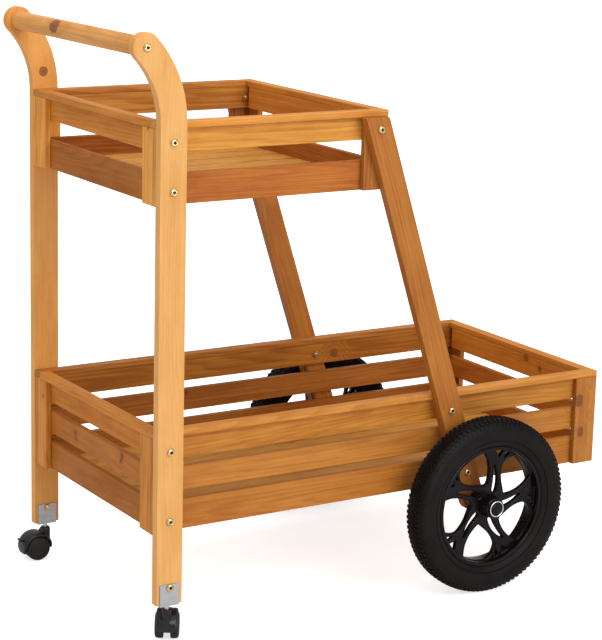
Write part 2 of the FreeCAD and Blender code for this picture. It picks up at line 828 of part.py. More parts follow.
def place_caster(body, side, heading):
    """Put a caster piece on its swivel line, turned to its heading."""
    turn = FreeCAD.Rotation(FreeCAD.Vector(0, 0, 1), value(heading))
    body.Placement = FreeCAD.Placement(FreeCAD.Vector(), turn)
    return bind(body, x="post_x", y="-post_middle" if side < 0 else "post_middle")


def make_hood(side_name, side, heading):
    """Caster hood: middle plate, fender over both wheels, and the stem's boss."""
    hood = new_body("hood_body_" + side_name)
    place_caster(hood, side, heading)
    trail = "-caster_trail"
    lift = "caster_radius"
    inner = f"({lift} + hood_gap)"
    wheel_top = "(caster_wheel_diameter + hood_gap)"

    def around(radius, angle):
        x, z = polar(radius, angle)
        return f"{trail} + {x}", f"{lift} + {z}"

    plate = sketch_on(hood, "hood_plate_" + side_name)
    outline(plate, [
        around("hood_radius", 200),
        around("caster_radius * 0.45", 230),
        around("caster_radius * 0.45", 310),
        around("hood_radius", -8),
        around("hood_radius", 90),
    ], {3: ("hood_radius", 1), 4: ("hood_radius", 1)})
    pad(hood, plate, "hood_thickness", symmetric=True)
    fender = sketch_on(hood, "hood_fender_" + side_name)
    outline(fender, [
        around("hood_radius", -8), around("hood_radius", 90),
        around("hood_radius", 200), around(inner, 200), around(inner, 90),
        around(inner, -8),
    ], {0: ("hood_radius", 1), 1: ("hood_radius", 1), 3: (inner, -1), 4: (inner, -1)})
    pad(hood, fender, "hood_width", symmetric=True)
    neck = sketch_on(hood, "hood_neck_" + side_name)
    neck_base = f"{lift} + hood_radius * 0.4"
    outline(neck, [
        ("-caster_boss_radius", neck_base), ("caster_boss_radius", neck_base),
        ("caster_boss_radius", wheel_top), ("-caster_boss_radius", wheel_top),
    ])
    pad(hood, neck, "hood_thickness", symmetric=True)
    boss = sketch_on(hood, "hood_boss_" + side_name, "XY_Plane")
    circle(boss, 0, 0, "caster_boss_radius")
    pad(hood, boss, "caster_boss_height")
    bind(boss, **{"AttachmentOffset.Base.z": wheel_top + " - caster_boss_height / 3"})
    bore = sketch_on(hood, "hood_bore_" + side_name, "XY_Plane")
    circle(bore, 0, 0, "caster_stem_diameter / 2 + stem_clearance")
    pocket(hood, bore)
    pin_hole = sketch_on(hood, "hood_pin_hole_" + side_name)
    circle(pin_hole, trail, lift, "caster_pin_diameter / 2")
    pocket(hood, pin_hole)
    slot = sketch_on(hood, "hood_slot_" + side_name)
    outline(slot, [around(f"hood_radius + {r}", angle)
                   for r, angle in ((2, 128), (2, 160), ("(0 - 7)", 164),
                                    ("(0 - 7)", 124))])
    pocket(hood, slot, "pedal_arm_width + 2 * caster_gap")
    pedal_pin = sketch_on(hood, "hood_pedal_pin_" + side_name)
    circle(pedal_pin, *around("hood_radius - pedal_eye_radius", 145),
           "pedal_pin_radius")
    pad(hood, pedal_pin, "pedal_arm_width + 4 * caster_gap", symmetric=True)
    finish(hood, "caster_hood_" + side_name)


def make_pedal(side_name, side, heading):
    """Brake pedal: an eye on the hood's cross pin, an arm and a wide tread."""
    pedal = new_body("pedal_body_" + side_name)
    place_caster(pedal, side, heading)
    pin_x, pin_z = polar("hood_radius - pedal_eye_radius", 145)
    pin_x, pin_z = f"({pin_x} - caster_trail)", f"({pin_z} + caster_radius)"
    arm = sketch_on(pedal, "pedal_arm_" + side_name)
    eye = "pedal_eye_radius"
    tread_x = f"({pin_x} - 2 * {eye})"
    outline(arm, [
        (pin_x, f"{pin_z} - {eye}"),
        (f"{pin_x} + {eye}", pin_z),
        (pin_x, f"{pin_z} + {eye}"),
        (tread_x, f"{pin_z} + {eye}"),
        (tread_x, f"{pin_z} + {eye} - pedal_thickness"),
    ], {0: (eye, 1), 1: (eye, 1)})
    pad(pedal, arm, "pedal_arm_width", symmetric=True)
    tread = sketch_on(pedal, "pedal_tread_" + side_name)
    outline(tread, [
        (tread_x, f"{pin_z} + {eye}"),
        (f"{tread_x} - pedal_length", f"{pin_z} + {eye}"),
        (f"{tread_x} - pedal_length", f"{pin_z} + {eye} - pedal_thickness"),
        (tread_x, f"{pin_z} + {eye} - pedal_thickness"),
    ])
    pad(pedal, tread, "pedal_width", symmetric=True)
    hole = sketch_on(pedal, "pedal_eye_hole_" + side_name)
    circle(hole, pin_x, pin_z, "pedal_pin_radius + stem_clearance")
    pocket(pedal, hole)
    finish(pedal, "brake_pedal_" + side_name)


def make_caster_wheel(side_name, side, heading, wheel_name, sign):
    """One of a caster's two domed wheels, closed on its outer face."""
    wheel = new_body(f"caster_wheel_body_{wheel_name}_{side_name}")
    place_caster(wheel, side, heading)
    middle = "(-post_middle)" if side < 0 else "post_middle"
    bind(wheel, x=f"post_x - caster_trail * cos({heading})",
         y=f"{middle} - caster_trail * sin({heading})", z="caster_radius")
    profile = sketch_on(wheel, f"caster_profile_{wheel_name}_{side_name}", "XY_Plane")
    near = "(hood_thickness / 2 + caster_gap)"
    far = f"({near} + caster_wheel_width)"
    bore = "(caster_pin_diameter / 2 + stem_clearance)"
    end = f"({far} - caster_wheel_width / 4)"
    half_profile = [
        (bore, near), ("caster_radius", near), ("caster_radius", end),
        ("caster_radius * 0.85", far), ("0", far),
        ("0", f"{end} + caster_gap"), (bore, f"{end} + caster_gap"),
    ]
    outline(profile, [(x, f"{sign}({y})") for x, y in half_profile])
    revolve(wheel, profile)
    finish(wheel, f"caster_wheel_{wheel_name}_{side_name}")


def make_caster(side_name, side, heading):
    """Twin-wheel caster whose wheels trail towards -X of its own frame."""
    make_hood(side_name, side, heading)
    make_pedal(side_name, side, heading)
    make_caster_wheel(side_name, side, heading, "outer", "-")
    make_caster_wheel(side_name, side, heading, "inner", "")
    stem_base = "caster_radius + hood_radius * 0.5"
    stem = rod("stem_rod_" + side_name, "post_x",
               "-post_middle" if side < 0 else "post_middle", stem_base,
               "caster_stem_diameter / 2", f"post_foot - ({stem_base})", axis="z")
    finish(stem, "caster_stem_" + side_name)
    axle = new_body("caster_pin_body_" + side_name)
    place_caster(axle, side, heading)
    face = sketch_on(axle, "caster_pin_face_" + side_name)
    circle(face, "-caster_trail", "caster_radius", "caster_pin_diameter / 2")
    pad(axle, face, "hood_thickness + 2 * (caster_gap + 0.75 * caster_wheel_width)",
        symmetric=True)
    finish(axle, "caster_pin_" + side_name)


for tray_name, battens in (("lower", 3), ("upper", 2)):
    make_tray(tray_name)
    make_floor(tray_name, battens)
make_handle_bar()
for side_name, side in SIDES.items():
    make_post(side_name, side)
    make_leg(side_name, side)
    make_packer(side_name, side)
    make_rim(side_name, side)
    make_tyre(side_name, side)
    make_hub_cap(side_name, side)
    make_bracket(side_name, side)
make_caster("right", -1, "right_caster_heading")
make_caster("left", 1, "left_caster_heading")
make_fasteners()
make_axle()
doc.recompute()

faults = [o.Name for o in doc.Objects if "Invalid" in o.State or "Error" in o.State]
faults += [p.Label for p in finished if p.Shape.isNull() or not p.Shape.isValid()]
if faults:
    raise RuntimeError("failed: " + ", ".join(faults))

os.makedirs("parts", exist_ok=True)
for piece in finished:
    piece.Shape.exportStep(f"parts/{piece.Label}.step")
print(len(finished), "sub-parts")
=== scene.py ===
import math

import bmesh
import bpy
from mathutils import Matrix, Vector


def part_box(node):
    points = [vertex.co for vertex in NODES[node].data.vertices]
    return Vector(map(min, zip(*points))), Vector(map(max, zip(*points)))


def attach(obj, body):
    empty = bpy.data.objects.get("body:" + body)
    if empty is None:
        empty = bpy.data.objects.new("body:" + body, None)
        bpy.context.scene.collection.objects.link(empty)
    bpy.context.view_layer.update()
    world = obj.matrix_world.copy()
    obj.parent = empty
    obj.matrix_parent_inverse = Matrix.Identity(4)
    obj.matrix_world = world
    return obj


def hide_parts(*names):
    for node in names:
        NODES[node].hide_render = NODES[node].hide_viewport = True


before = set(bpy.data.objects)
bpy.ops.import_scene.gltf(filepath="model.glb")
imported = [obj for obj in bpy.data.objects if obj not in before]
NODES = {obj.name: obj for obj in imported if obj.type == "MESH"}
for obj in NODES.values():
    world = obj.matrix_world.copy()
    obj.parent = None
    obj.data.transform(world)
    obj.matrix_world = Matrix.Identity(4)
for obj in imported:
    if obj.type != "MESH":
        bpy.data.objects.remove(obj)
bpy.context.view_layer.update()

# Looks of the two-tier wooden flower cart: stained softwood, black moulded wheels and
# casters, knobbly tyres, brassed bolts and zinc-plated brackets.  Metres, row frame.

MM = 0.001
SIDES = {"right": -1, "left": 1}
WELD_GAP = 0.00002  # joins the loose corners of a CAD mesh


def add_object(name, data):
    """A new object in the scene's collection."""
    thing = bpy.data.objects.new(name, data)
    bpy.context.scene.collection.objects.link(thing)
    return thing


# --- Materials -----------------------------------------------------------------------

# Places of a Mix node's sockets for colours: the share and both colours, the result.
MIX_INPUTS, MIX_OUTPUT = (0, 6, 7), 2


class Graph:
    """A small helper that adds and links nodes."""

    def __init__(self, tree):
        self.tree = tree

    def add(self, kind, inputs=None, **settings):
        node = self.tree.nodes.new(kind)
        for name, setting in settings.items():
            setattr(node, name, setting)
        for name, source in (inputs or {}).items():
            self.join(source, node.inputs[name])
        return node

    def join(self, source, socket):
        if isinstance(source, bpy.types.NodeSocket):
            self.tree.links.new(source, socket)
        else:
            socket.default_value = source

    def math(self, operation, first, second=0.0, clamp=False):
        node = self.add("ShaderNodeMath", operation=operation, use_clamp=clamp)
        for socket, source in zip(node.inputs, (first, second)):
            self.join(source, socket)
        return node.outputs[0]

    def total(self, *terms):
        result = terms[0]
        for term in terms[1:]:
            result = self.math("ADD", result, term)
        return result

    def vector(self, operation, first, second=(0, 0, 0)):
        node = self.add("ShaderNodeVectorMath", operation=operation)
        for socket, source in zip(node.inputs, (first, second)):
            self.join(source, socket)
        return node.outputs["Value" if operation in ("LENGTH", "DISTANCE") else 0]

    def mix(self, share, first, second, blend="MIX"):
        node = self.add("ShaderNodeMix", data_type="RGBA", blend_type=blend)
        for index, source in zip(MIX_INPUTS, (share, first, second)):
            self.join(source, node.inputs[index])
        return node.outputs[MIX_OUTPUT]

    def noise(self, vector, scale, detail, roughness=0.5):
        node = self.add("ShaderNodeTexNoise", {
            "Vector": vector, "Scale": scale, "Detail": detail,
            "Roughness": roughness})
        return node.outputs[0]

    def spread(self, source, low, high, new_low=0.0, new_high=1.0):
        node = self.add("ShaderNodeMapRange", {
            "Value": source, "From Min": low, "From Max": high,
            "To Min": new_low, "To Max": new_high}, interpolation_type="SMOOTHSTEP")
        return node.outputs[0]

    def squeezed(self, vector, share):
        """The vector shortened along Z, which draws a pattern out along Z."""
        return self.vector("MULTIPLY", vector, (1, 1, share))


def new_material(name, colour, **settings):
    """A material with a Principled shader, its graph and the shader's node."""
    material = bpy.data.materials.new(name)
    material.use_nodes = True
    graph = Graph(material.node_tree)
    shader = material.node_tree.nodes["Principled BSDF"]
    material.diffuse_color = (*colour, 1)
    shader.inputs["Base Color"].default_value = (*colour, 1)
    for socket, setting in settings.items():
        shader.inputs[socket.replace("_", " ")].default_value = setting
    return material, graph, shader


def bump(graph, shader, height, distance):
    node = graph.add("ShaderNodeBump", {"Height": height, "Distance": distance})
    graph.join(node.outputs[0], shader.inputs["Normal"])


def object_place(graph):
    return graph.add("ShaderNodeTexCoord").outputs["Object"]


# Knots seen in the photograph: place in the row frame and radius, both in metres.
KNOTS = [
    ((-0.398, 0.219, 0.8545), 0.0088),
    ((-0.452, 0.061, 0.946), 0.0125), ((-0.452, 0.052, 0.945), 0.0115),
    ((0.1805, 0.1985, 0.3115), 0.009),
    ((0.4428, -0.042, 0.3285), 0.008), ((0.4428, -0.0836, 0.3166), 0.006),
    ((-0.1312, 0.1985, 0.2731), 0.004),
    ((0.0667, -0.2251, 0.3435), 0.0035),
    ((-0.4062, -0.0925, 0.2711), 0.0065), ((-0.4062, -0.0885, 0.262), 0.0045),
    ((-0.4062, 0.0787, 0.265), 0.0055), ((-0.4062, 0.0767, 0.256), 0.004),
    ((0.4261, -0.219, 0.2892), 0.0085), ((0.4261, -0.219, 0.2962), 0.0085),
    ((0.4328, -0.219, 0.2384), 0.0065), ((0.4328, -0.219, 0.2314), 0.0065),
    ((-0.4163, -0.1924, 0.8137), 0.003), ((-0.4163, 0.1845, 0.3048), 0.003),
]
NO_KNOT = 9.0  # distance to the nearest knot, in knot radii, before any is found
SMALL_KNOTS, SMALL_KNOT_RADIUS = 5.5, 0.022  # strewn ones: cells a metre, size in a cell
KNOT_BROWN = (0.17, 0.050, 0.016, 1)
BARK_BROWN = (0.045, 0.014, 0.006, 1)

BOARD_SHIFT = (17.3, 31.7, 53.1)  # takes the grain of each board from another place
FIELDS = {  # noise patterns: squeeze along the grain, scale, detail and roughness
    "rings": (0.055, 15, 1.2, 0.4), "fibre": (0.018, 900, 3, 0.6),
    "streak": (0.022, 190, 2, 0.55), "stain": (0.35, 21, 4, 0.6),
    "fleck": (0.12, 620, 1, 0.4),
}
RINGS, KNOT_PUSH = 26, 0.09  # growth rings in the field's range, push round a knot

GROUP_SOCKETS = {
    "INPUT": {"Place": "Vector", "Vector": "Vector", "Light": "Color", "Dark": "Color",
              "Vary": "Float", "Figure": "Float"},
    "OUTPUT": {"Color": "Color", "Roughness": "Float", "Height": "Float"},
}


def wood_group():
    """Softwood seen in any plane: growth rings, fibres, knots and uneven stain.

    The grain runs along the vector's Z.  It gives colour, roughness and height.
    """
    tree = bpy.data.node_groups.new("stained_pine", "ShaderNodeTree")
    for way, sockets in GROUP_SOCKETS.items():
        for name, kind in sockets.items():
            tree.interface.new_socket(name, in_out=way,
                                      socket_type="NodeSocket" + kind)
    graph = Graph(tree)
    given = graph.add("NodeGroupInput").outputs
    island = graph.add("ShaderNodeNewGeometry").outputs["Random Per Island"]
    shift = graph.add("ShaderNodeCombineXYZ", {
        axis: graph.math("MULTIPLY", island, length)
        for axis, length in zip("XYZ", BOARD_SHIFT)}).outputs[0]
    place = graph.vector("ADD", given["Vector"], shift)

    def field(name):
        squeeze, *settings = FIELDS[name]
        return graph.noise(graph.squeezed(place, squeeze), *settings)

    # knots: the photographed ones and a few small ones strewn over the boards
    near = NO_KNOT
    for centre, radius in KNOTS:
        away = graph.vector("DISTANCE", given["Place"], centre)
        near = graph.math("MINIMUM", near, graph.math("DIVIDE", away, radius))
    cells = graph.add("ShaderNodeTexVoronoi", {
        "Vector": graph.squeezed(place, 0.5), "Scale": SMALL_KNOTS,
        "Randomness": 1.0}, voronoi_dimensions="3D", feature="F1")
    near = graph.math("MINIMUM", near, graph.math(
        "DIVIDE", cells.outputs["Distance"], SMALL_KNOT_RADIUS))
    # the knots' uneven edge, their bark, their core and the stain round them
    wobble = graph.noise(place, 210, 2)
    reach = graph.total(near, graph.math("MULTIPLY", wobble, 0.5), -0.25)
    knot = graph.spread(reach, 0.7, 1.05, 1, 0)
    bark = graph.math("MULTIPLY", graph.spread(reach, 0.55, 0.85), knot)
    core = graph.spread(reach, 0.1, 0.4, 1, 0)
    halo = graph.spread(reach, 0.9, 4.0, 1, 0)
    # growth rings: contour lines of a drawn-out field, pushed out round each knot
    level = graph.total(field("rings"), graph.math("MULTIPLY", halo, KNOT_PUSH))
    wave = graph.math("FRACT", graph.math("MULTIPLY", level, RINGS))
    late = graph.math("MULTIPLY", graph.spread(wave, 0.15, 0.85),
                      graph.spread(wave, 0.88, 1.0, 1, 0))
    fibre, streak, stain, fleck = map(field, ("fibre", "streak", "stain", "fleck"))
    figure = given["Figure"]
    # the stain's depth, from 0 for Light to 1 for Dark: a base and each pattern's part
    depth = graph.total(
        0.30,
        graph.math("MULTIPLY", graph.math("MULTIPLY", late, figure), 0.34),
        graph.math("MULTIPLY", graph.spread(streak, 0.3, 0.72, -0.16, 0.26), figure),
        graph.spread(stain, 0.25, 0.75, -0.16, 0.30),
        graph.spread(fibre, 0.3, 0.7, -0.07, 0.11),
        graph.math("MULTIPLY", graph.math("SUBTRACT", island, 0.5), given["Vary"]))
    depth = graph.math("ADD", depth, graph.spread(fleck, 0.74, 0.86, 0, 0.28),
                       clamp=True)
    colour = graph.mix(depth, given["Light"], given["Dark"])
    colour = graph.mix(graph.math("MULTIPLY", halo, 0.25), colour, given["Dark"])
    colour = graph.mix(graph.math("MULTIPLY", knot, 0.74), colour, KNOT_BROWN)
    ringed = graph.math("MAXIMUM", bark, core)
    colour = graph.mix(graph.math("MULTIPLY", ringed, 0.45), colour, BARK_BROWN)
    height = graph.total(graph.math("MULTIPLY", fibre, 0.5),
                         graph.math("MULTIPLY", late, -0.3))
    rough = graph.spread(stain, 0.2, 0.8, 0.44, 0.58)
    ends = graph.add("NodeGroupOutput").inputs
    graph.join(colour, ends["Color"])
    graph.join(rough, ends["Roughness"])
    graph.join(height, ends["Height"])
    return tree


PINE = wood_group()
WOOD_RELIEF = 0.0003

# Turns, in degrees, that bring the grain of a board to Z.
LEG_LEAN = 18.45
TURNS = {"x": (0, -90, 0), "y": (90, 0, 0), "z": (0, 0, 0), "leg": (0, LEG_LEAN, 0)}

# Painted light and shade on the boards, level by level: each tray's top slat and cap are
# tinted paler, where more light falls, and the boards lower down darker. The height of a
# band's base, in metres, and the tint of the boards in it.
SIDE_LIGHT_BANDS = [
    (0.0, (0.92, 0.86, 0.78)), (0.23, (0.93, 0.90, 0.90)), (0.29, (1.12, 1.20, 1.05)),
    (0.3331, (1.22, 1.30, 1.6)), (0.60, (0.98, 0.82, 0.66)),
    (0.76, (1.42, 1.70, 1.90)), (0.8156, (1.34, 1.46, 1.80)),
]
END_LIGHT_BANDS = [
    (0.0, (0.98, 0.84, 0.62)), (0.23, (1.08, 0.92, 0.72)), (0.29, (1.52, 1.46, 1.2)),
    (0.3331, (1.46, 1.46, 1.3)), (0.60, (1.02, 0.90, 0.80)),
    (0.76, (1.50, 1.46, 1.3)), (0.8156, (1.48, 1.50, 1.4)),
]
CORNER_LIGHT_BANDS = [(0.0, (1.18, 1.12, 0.95)), (0.5, (1.44, 1.46, 1.5))]


def wood(name, grain, light, dark, vary=0.4, figure=1.0, light_bands=(), gloss=0.25):
    """Stained pine whose grain runs along x, y, z or the leaning leg."""
    material, graph, shader = new_material(name, light, IOR=1.45,
                                           Specular_IOR_Level=gloss)
    place = object_place(graph)
    turned = graph.add("ShaderNodeVectorRotate", {
        "Vector": place, "Rotation": [math.radians(a) for a in TURNS[grain]]},
        rotation_type="EULER_XYZ").outputs[0]
    pine = graph.add("ShaderNodeGroup", {
        "Place": place, "Vector": turned, "Light": (*light, 1), "Dark": (*dark, 1),
        "Vary": vary, "Figure": figure}, node_tree=PINE)
    colour = pine.outputs["Color"]
    # painted light: the colour is multiplied by a tint that steps with height, paler where
    # more light falls at the top of each tray and darker low down
    if light_bands:
        height = graph.add("ShaderNodeSeparateXYZ", {"Vector": place}).outputs["Z"]
        ramp = graph.add("ShaderNodeValToRGB", {"Fac": height})
        stops = ramp.color_ramp
        stops.interpolation = "CONSTANT"
        while len(stops.elements) < len(light_bands):
            stops.elements.new(1.0)
        for element, (base, tint) in zip(stops.elements, light_bands):
            element.position = base
            element.color = (*tint, 1)
        colour = graph.mix(1.0, colour, ramp.outputs["Color"], "MULTIPLY")
    graph.join(colour, shader.inputs["Base Color"])
    graph.join(pine.outputs["Roughness"], shader.inputs["Roughness"])
    bump(graph, shader, pine.outputs["Height"], WOOD_RELIEF)
    return material


# Light and dark stain of each kind of board.
HONEY =((0.57, 0.225, 0.032), (0.34, 0.100, 0.008))
# painted shade: the left side's boards are the honey stain darkened by about a quarter,
# for the shade that falls on the far side
SHADED = ((0.44, 0.162, 0.024), (0.25, 0.070, 0.006))
FLOOR = ((0.67, 0.325, 0.068), (0.45, 0.180, 0.026))
ENDS = ((0.47, 0.185, 0.032), (0.29, 0.090, 0.010))
CORNER = ((0.60, 0.265, 0.052), (0.37, 0.120, 0.014))
FRONT_CORNER = ((0.50, 0.195, 0.032), (0.29, 0.082, 0.008))
PEACH = ((0.80, 0.430, 0.140), (0.64, 0.290, 0.070))
DEEP_PEACH = ((0.86, 0.425, 0.110), (0.62, 0.248, 0.046))
LEG = ((0.48, 0.178, 0.024), (0.31, 0.088, 0.008))
BAR = ((0.80, 0.390, 0.110), (0.54, 0.200, 0.036))
side_wood = {"right": wood("honey_pine_x", "x", *HONEY, figure=0.75, light_bands=SIDE_LIGHT_BANDS),
             "left": wood("shaded_honey_pine_x", "x", *SHADED, light_bands=SIDE_LIGHT_BANDS)}
floor_wood = wood("floor_pine_x", "x", *FLOOR)
end_wood = wood("honey_pine_y", "y", *ENDS, figure=0.7, light_bands=END_LIGHT_BANDS, gloss=0.14)
corner_wood = {
    "back": wood("honey_pine_z", "z", *CORNER, figure=0.8, light_bands=CORNER_LIGHT_BANDS,
                 gloss=0.14),
    "front": wood("brown_pine_z", "z", *FRONT_CORNER)}
post_wood = {"right": wood("peach_pine", "z", *PEACH, vary=0.1, figure=0.45),
             "left": wood("amber_pine", "z", *DEEP_PEACH, vary=0.1, figure=0.3)}
leg_wood = wood("leg_pine", "leg", *LEG, vary=0.1, figure=0.8)
bar_wood = wood("bar_pine", "y", *BAR, vary=0.1, figure=0.8)


def patchy(name, colour, roughness, patches, swing, tint, grain, relief, **settings):
    """A material whose gloss and shade change softly from patch to patch.

    Patches are the scale and detail of their noise, swing is how far the roughness
    goes down and up, and tint multiplies the colour of the other patches.
    """
    material, graph, shader = new_material(name, colour, Roughness=roughness, **settings)
    place = object_place(graph)
    broad = graph.noise(place, *patches)
    down, up = swing
    graph.join(graph.spread(broad, 0.3, 0.7, roughness - down, roughness + up),
               shader.inputs["Roughness"])
    shade = graph.mix(graph.spread(broad, 0.3, 0.7), (*colour, 1),
                      (*[c * tint for c in colour], 1))
    graph.join(shade, shader.inputs["Base Color"])
    bump(graph, shader, graph.noise(place, grain, 2), relief)
    return material


def black_plastic(name, colour, roughness, grain, gloss, relief=0.0001):
    """Moulded black plastic with a fine grain."""
    return patchy(name, colour, roughness, (35, 2), (0.06, 0.08), 1.5, grain, relief,
                  Specular_IOR_Level=gloss)


def metal(name, colour, roughness, grain=420, tint=0.72):
    """Plated metal: patchy gloss, a little duller colour here and there."""
    return patchy(name, colour, roughness, (90, 3), (0.08, 0.12), tint, grain, 0.00006,
                  Metallic=1.0)


rim_plastic = black_plastic("rim_plastic", (0.0036, 0.0026, 0.0030), roughness=0.22,
                            grain=900, gloss=0.14, relief=0.00006)
caster_plastic = black_plastic("caster_plastic", (0.0080, 0.0072, 0.0084),
                               roughness=0.34, grain=1200, gloss=0.32)
disc_plastic = black_plastic("disc_plastic", (0.0120, 0.0096, 0.0082), roughness=0.50,
                             grain=1500, gloss=0.24)
tyre_rubber = black_plastic("tyre_rubber", (0.0058, 0.0042, 0.0042), roughness=0.42,
                            grain=800, gloss=0.09, relief=0.0002)
cap_plastic = black_plastic("cap_plastic", (0.0040, 0.0034, 0.0038), roughness=0.26,
                            grain=900, gloss=0.12)
brass = metal("passivated_brass", (0.74, 0.58, 0.33), 0.26)
zinc = metal("zinc_plate", (0.66, 0.66, 0.66), 0.28)
strap_zinc = metal("zinc_strap", (0.40, 0.412, 0.42), 0.5, grain=260, tint=0.94)
ring_silver = metal("ring_silver", (0.62, 0.62, 0.64), 0.26)
# painted shade: dark brown metal for discs in the bolts' sockets, standing in for the
# shade deep in each hexagon hole
socket_shade_metal = metal("socket_shade_metal", (0.075, 0.050, 0.026), 0.45)


# --- CAD pieces that keep their shape ----------------------------------------------------

FLAT_ANGLE, EDGE_ANGLE = 0.5, 38  # degrees: faces joined below, edges softened above


def dress(node, material, width, segments=2):
    """Give a CAD node its material, softened edges and even shading."""
    thing = NODES[node]
    thing.data.materials.clear()
    thing.data.materials.append(material)
    for polygon in thing.data.polygons:
        polygon.use_smooth = True
    weld = thing.modifiers.new("weld", "WELD")
    weld.merge_threshold = WELD_GAP
    flat = thing.modifiers.new("flat", "DECIMATE")
    flat.decimate_type = "DISSOLVE"
    flat.angle_limit = math.radians(FLAT_ANGLE)
    edge = thing.modifiers.new("edge", "BEVEL")
    edge.width = width
    edge.segments = segments
    edge.limit_method = "ANGLE"
    edge.angle_limit = math.radians(EDGE_ANGLE)
    shade = thing.modifiers.new("shade", "WEIGHTED_NORMAL")
    shade.weight = 80


# Each node's material, the width of its softened edges in metres and their segments.
for name in NODES:
    side = name.split("_")[-1]
    if name.startswith(("lower_cap", "upper_cap", "lower_slats", "upper_slats")):
        dress(name, side_wood.get(side, end_wood), 0.0014, 3)
    elif name.endswith("floor_slats"):
        dress(name, floor_wood, 0.001)
    elif name.endswith("floor_battens"):
        dress(name, end_wood, 0.001)
    elif "_corner_" in name:
        dress(name, corner_wood[name.split("_")[2]], 0.0012, 3)
    elif name.startswith("post_"):
        dress(name, post_wood[side], 0.0028, 4)
    elif name.startswith("leg_"):
        dress(name, leg_wood, 0.002, 3)
    elif name == "handle_bar":
        dress(name, bar_wood, 0.0008)
    elif name == "frame_nuts":
        dress(name, brass, 0.0004)
    elif name.startswith("bracket_"):
        dress(name, strap_zinc, 0.0008, 3)
    elif name.startswith(("axle", "caster_stem", "caster_pin")):
        dress(name, zinc, 0.0004)


# --- Pieces with more detail than the CAD solids -----------------------------------------

JOIN_GAP = 0.001  # joins a shape's doubled corners, in millimetres
PLATE_STEPS = 3  # segments of a plate's rounded edge
BEAD_SIDES = 8
TINY = 0.01  # radius of an outline's end on its axis


def band(here, there, count):
    """Faces between two rings of count points that start at here and there."""
    return [(here + i, here + (i + 1) % count, there + (i + 1) % count, there + i)
            for i in range(count)]


class Shape:
    """Collects turned, swept and plate shapes, in millimetres, into one mesh."""

    def __init__(self, place):
        self.bm = bmesh.new()
        self.place = place

    def take(self, points, faces):
        made = [self.bm.verts.new(Vector(p)) for p in points]
        for face in faces:
            self.bm.faces.new([made[i] for i in face])

    def turn(self, profile, segments, centre=(0, 0)):
        """Turn a closed outline of (radius, y) about the line through centre."""
        points, faces = [], []
        count = len(profile)
        for step in range(segments):
            angle = 2 * math.pi * step / segments
            points += [(centre[0] + r * math.cos(angle), y,
                        centre[1] + r * math.sin(angle)) for r, y in profile]
            faces += band(step * count, (step + 1) % segments * count, count)
        self.take(points, faces)

    def sweep(self, rings):
        """Join rings of points, as many in each, and close both ends."""
        count = len(rings[0])
        faces = [tuple(range(count)),
                 tuple(range((len(rings) - 1) * count, len(rings) * count))[::-1]]
        for step in range(len(rings) - 1):
            here, there = step * count, (step + 1) * count
            for i in range(count):
                j = (i + 1) % count
                faces.append((here + i, there + i, there + j, here + j))
        self.take([p for ring in rings for p in ring], faces)

    def plate(self, loops, low, high, rounding):
        """A plate in the XZ plane from y low to high, with rounded edges."""
        data = bpy.data.curves.new("plate", "CURVE")
        data.dimensions = "2D"
        data.fill_mode = "BOTH"
        data.extrude = (high - low) / 2 - rounding
        data.bevel_depth = rounding
        data.bevel_resolution = PLATE_STEPS
        data.offset = -rounding
        for loop in loops:
            spline = data.splines.new("POLY")
            spline.points.add(len(loop) - 1)
            for point, (x, z) in zip(spline.points, loop):
                point.co = (x, z, 0, 1)
            spline.use_cyclic_u = True
        thing = add_object("plate", data)
        bpy.context.view_layer.update()
        mesh = bpy.data.meshes.new_from_object(thing)
        middle = (low + high) / 2
        self.take([(v.co.x, middle - v.co.z, v.co.y) for v in mesh.vertices],
                  [tuple(p.vertices) for p in mesh.polygons])
        bpy.data.objects.remove(thing)
        bpy.data.curves.remove(data)
        bpy.data.meshes.remove(mesh)

    def bead(self, loop, y, radius, away):
        """A raised bead on a plate's face at y, at a distance outside a loop."""
        count = len(loop)
        area = sum(loop[i - 1][0] * loop[i][1] - loop[i][0] * loop[i - 1][1]
                   for i in range(count))
        outward = -1 if area > 0 else 1
        points, faces = [], []
        for i in range(count):
            before, after = Vector(loop[i - 1]), Vector(loop[(i + 1) % count])
            along = (after - before).normalized()
            normal = Vector((-along.y, along.x)) * outward
            for k in range(BEAD_SIDES):
                turn = 2 * math.pi * k / BEAD_SIDES
                spot = Vector(loop[i]) + normal * (away + radius * math.cos(turn))
                points.append((spot.x, y + radius * math.sin(turn), spot.y))
            faces += band(i * BEAD_SIDES, (i + 1) % count * BEAD_SIDES, BEAD_SIDES)
        self.take(points, faces)

    def piece(self, name, material, body, slot, *nodes, sharp=38):
        """The finished piece, in the row frame, riding on a body."""
        bm = self.bm
        bmesh.ops.remove_doubles(bm, verts=bm.verts, dist=JOIN_GAP)
        bmesh.ops.transform(bm, matrix=self.place @ Matrix.Scale(MM, 4), verts=bm.verts)
        bmesh.ops.recalc_face_normals(bm, faces=bm.faces)
        mesh = bpy.data.meshes.new(name)
        bm.to_mesh(mesh)
        bm.free()
        mesh.polygons.foreach_set("use_smooth", [True] * len(mesh.polygons))
        mesh.set_sharp_from_angle(angle=math.radians(sharp))
        mesh.materials.append(material)
        thing = add_object(name, mesh)
        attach(thing, body)
        if nodes:
            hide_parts(*nodes)


def polar(radius, angle, centre=(0, 0)):
    """The point at a radius and an angle in degrees about a centre."""
    turn = math.radians(angle)
    return (centre[0] + radius * math.cos(turn), centre[1] + radius * math.sin(turn))


